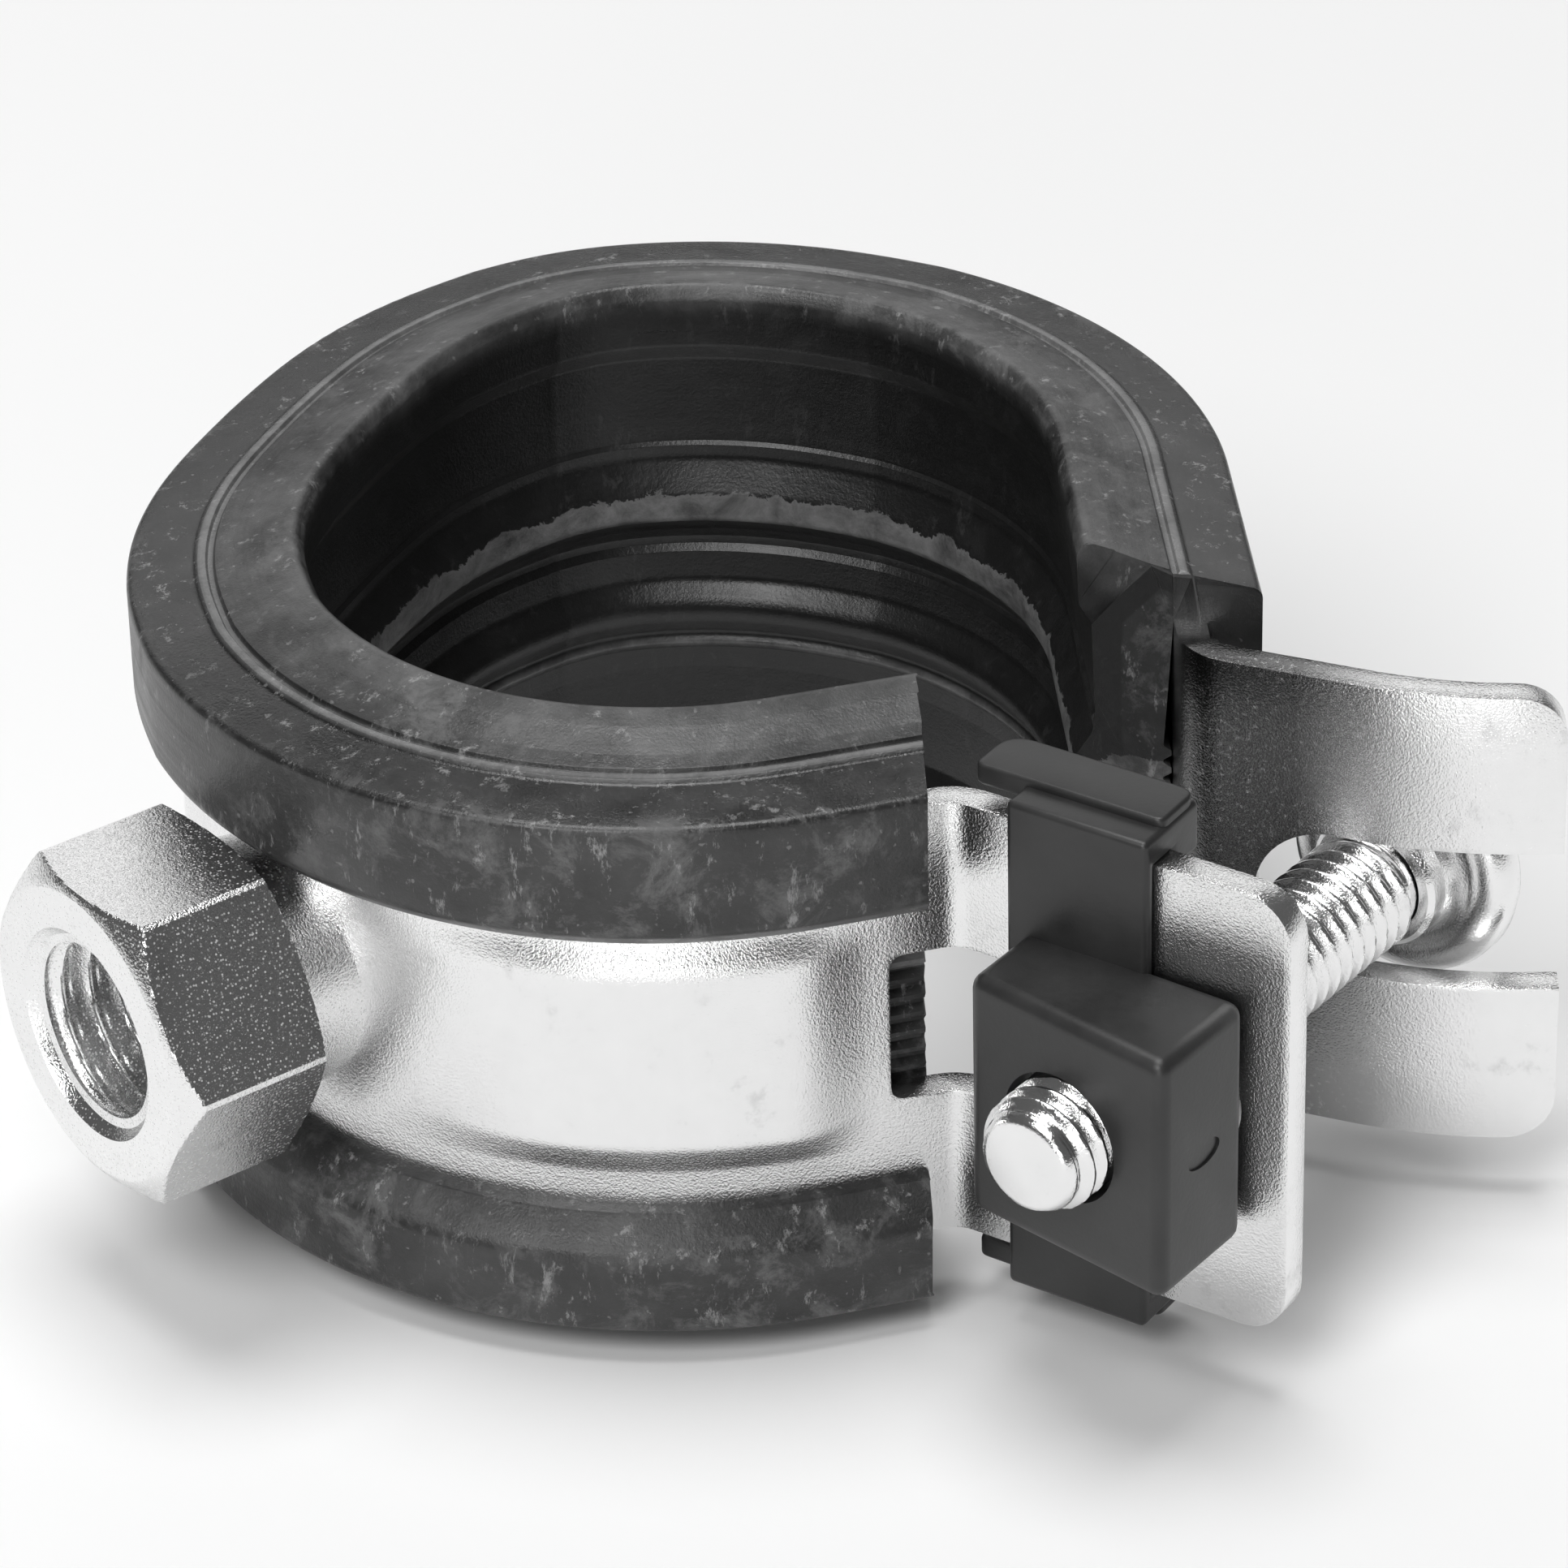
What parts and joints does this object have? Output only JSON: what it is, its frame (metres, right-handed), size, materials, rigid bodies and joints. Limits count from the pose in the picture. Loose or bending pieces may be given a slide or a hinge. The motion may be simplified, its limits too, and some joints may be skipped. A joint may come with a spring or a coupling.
{
  "type": "hinged pipe clamp",
  "caption": "Rubber-lined hinged pipe clamp, partly open, with one closure screw in a plastic holder and a welded hexagon connection nut.",
  "frame": {"origin": "centre of the gripped pipe, half way up the clamp's width", "axes": "+Z along the pipe, -Y along the connection nut's thread, +X towards the closure, hinge at -X"},
  "size_m": [0.0696, 0.0634, 0.0304],
  "materials": {
    "zinc_strap": "bright zinc plated, stamped",
    "zinc_turned": "bright zinc plated, turned",
    "rubber": "extruded, chalky smudges",
    "holder_plastic": "moulded, satin"
  },
  "bodies": {
    "fixed_half": {"fixed_band": "zinc_strap", "fixed_liner": "rubber", "connection_nut": "zinc_turned", "screw_holder": "holder_plastic", "hinge_pin": "zinc_turned"},
    "hinged_half": {"hinged_band": "zinc_strap", "hinged_liner": "rubber"},
    "tilting_nut": {"captive_nut": "zinc_turned"},
    "screw_travel": {"neck_ring": "zinc_turned"},
    "screw": {"clamp_screw": "zinc_turned"}
  },
  "joints": [
    {"name": "band_hinge", "type": "hinge", "parent": "fixed_half", "child": "hinged_half", "pos_m": [-0.0261, 0.0006, 0], "axis": [0, 0, 1], "range_deg": [-12.5, 2.5]},
    {"name": "screw_tilt", "type": "hinge", "parent": "fixed_half", "child": "tilting_nut", "pos_m": [0.03337, -0.00073, 0], "axis": [0, 0, 1], "range_deg": [-1, 3]},
    {"name": "screw_feed", "type": "slide", "parent": "tilting_nut", "child": "screw_travel", "axis": [0.2823, -0.9593, 0], "range_m": [-0.002, 0.0115]},
    {"name": "screw_turn", "type": "hinge", "parent": "screw_travel", "child": "screw", "pos_m": [0.03275, 0.00138, 0], "axis": [0.2823, -0.9593, 0], "range_deg": [-725, 4145]}
  ],
  "couplings": [
    {"joint": "screw_turn", "follows": "screw_feed", "rad_per_m": 6283.2},
    {"joint": "band_hinge", "follows": "screw_feed", "rad_per_m": -18.151}
  ]
}
